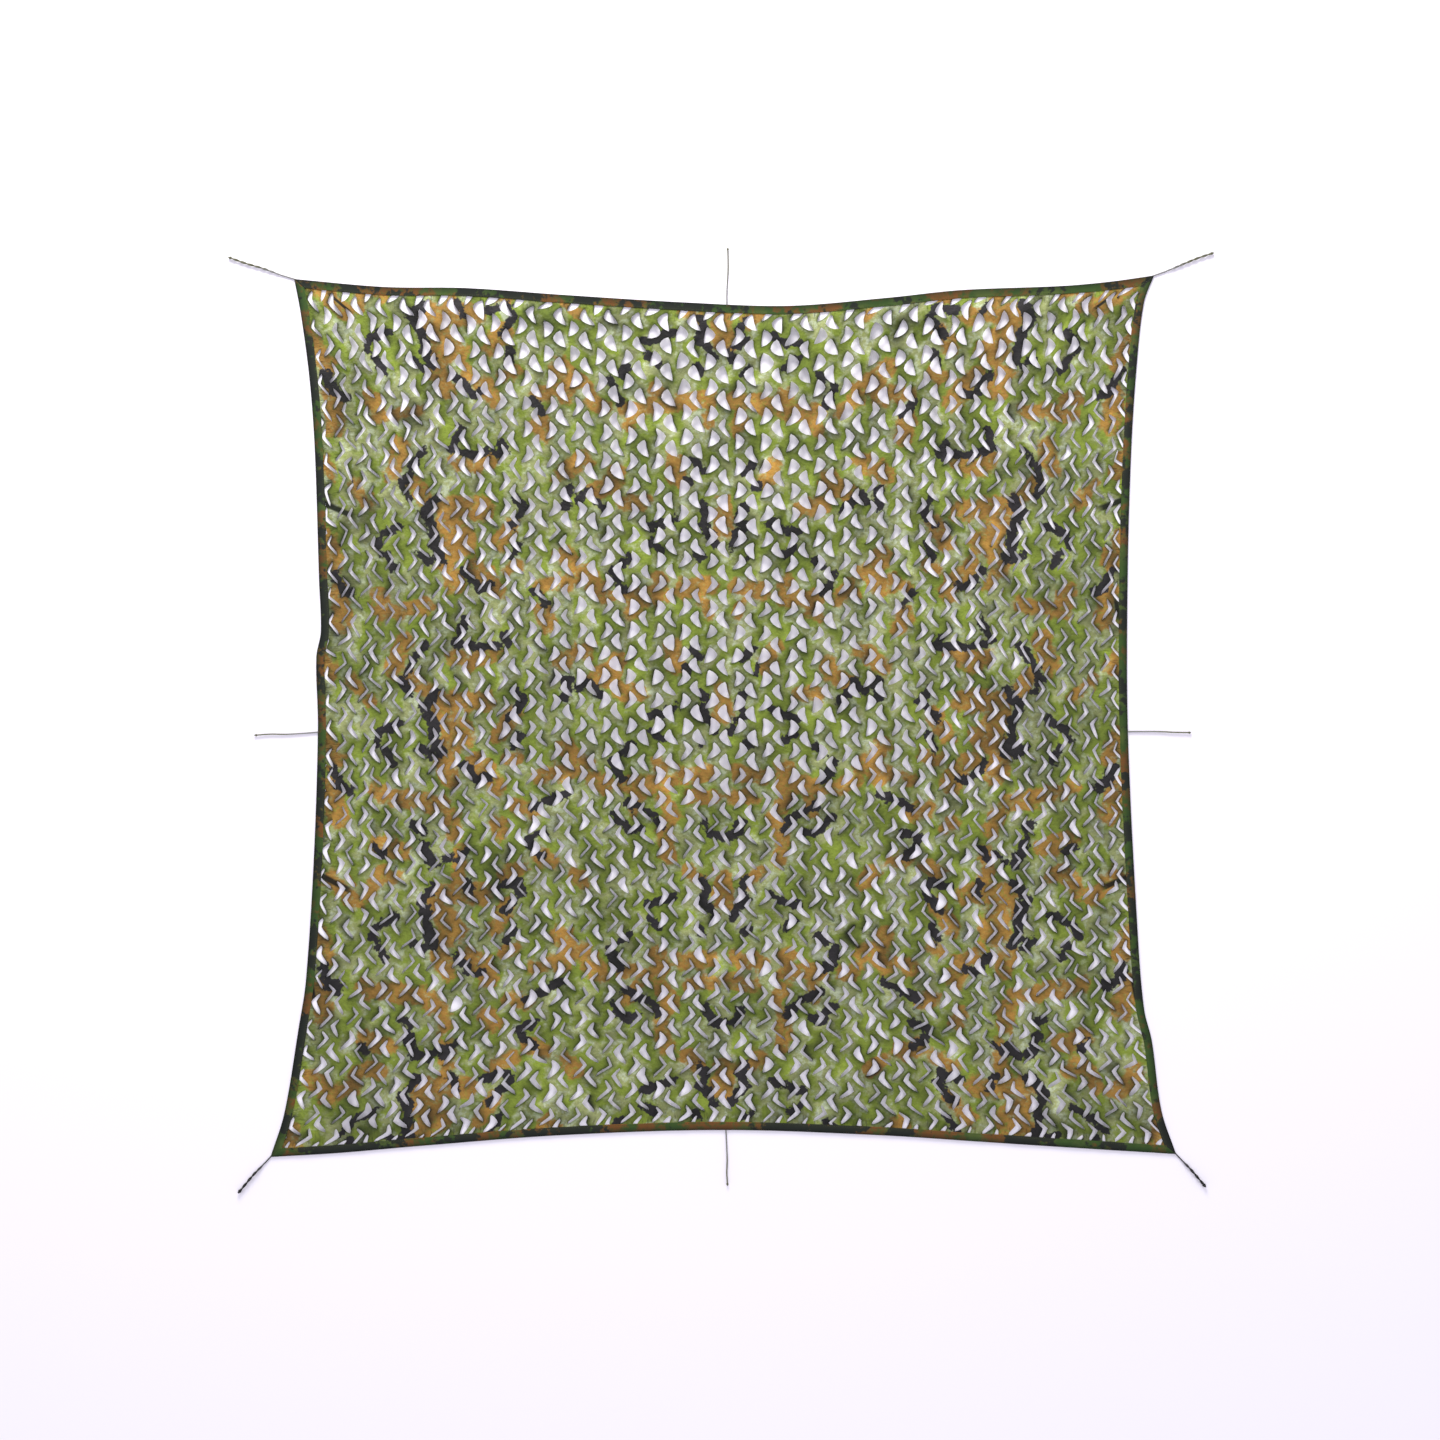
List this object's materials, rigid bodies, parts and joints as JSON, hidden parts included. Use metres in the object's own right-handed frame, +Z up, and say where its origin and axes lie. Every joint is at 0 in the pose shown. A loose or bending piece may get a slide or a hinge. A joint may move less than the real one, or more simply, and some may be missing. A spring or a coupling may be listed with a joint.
{
  "type": "camouflage net",
  "caption": "Leaf-cut camouflage net, laid flat: a cut cloth sheet with a folded edge binding and a knotted tie cord at every corner and mid-side.",
  "frame": {"origin": "on the floor, under the middle of the bound net's box, without its tie cords", "axes": "+Z up out of the cloth's face, +Y towards the net's top edge, +X to the right of one who looks down on it with the top edge away from them"},
  "size_m": [3.3578, 3.2222, 0.0118],
  "materials": {
    "net_cloth": "matte woven polyester printed in woodland green, ochre and near-black blotches",
    "binding": "matte folded edge strip in dark woodland print",
    "tie_cord_khaki": "matte twisted cord, khaki grey",
    "tie_cord_black": "matte twisted cord, near-black"
  },
  "bodies": {
    "root": {"net_cloth": "net_cloth", "binding_bottom": "binding", "binding_right": "binding", "binding_top": "binding", "binding_left": "binding", "tie_top_left": "tie_cord_khaki", "knot_top_left": "tie_cord_khaki", "tie_top": "tie_cord_khaki", "knot_top": "tie_cord_khaki", "tie_top_right": "tie_cord_khaki", "knot_top_right": "tie_cord_khaki", "tie_right": "tie_cord_khaki", "knot_right": "tie_cord_khaki", "tie_bottom_right": "tie_cord_black", "knot_bottom_right": "tie_cord_black", "tie_bottom": "tie_cord_khaki", "knot_bottom": "tie_cord_khaki", "tie_bottom_left": "tie_cord_black", "knot_bottom_left": "tie_cord_black", "tie_left": "tie_cord_khaki", "knot_left": "tie_cord_khaki"}
  },
  "joints": []
}
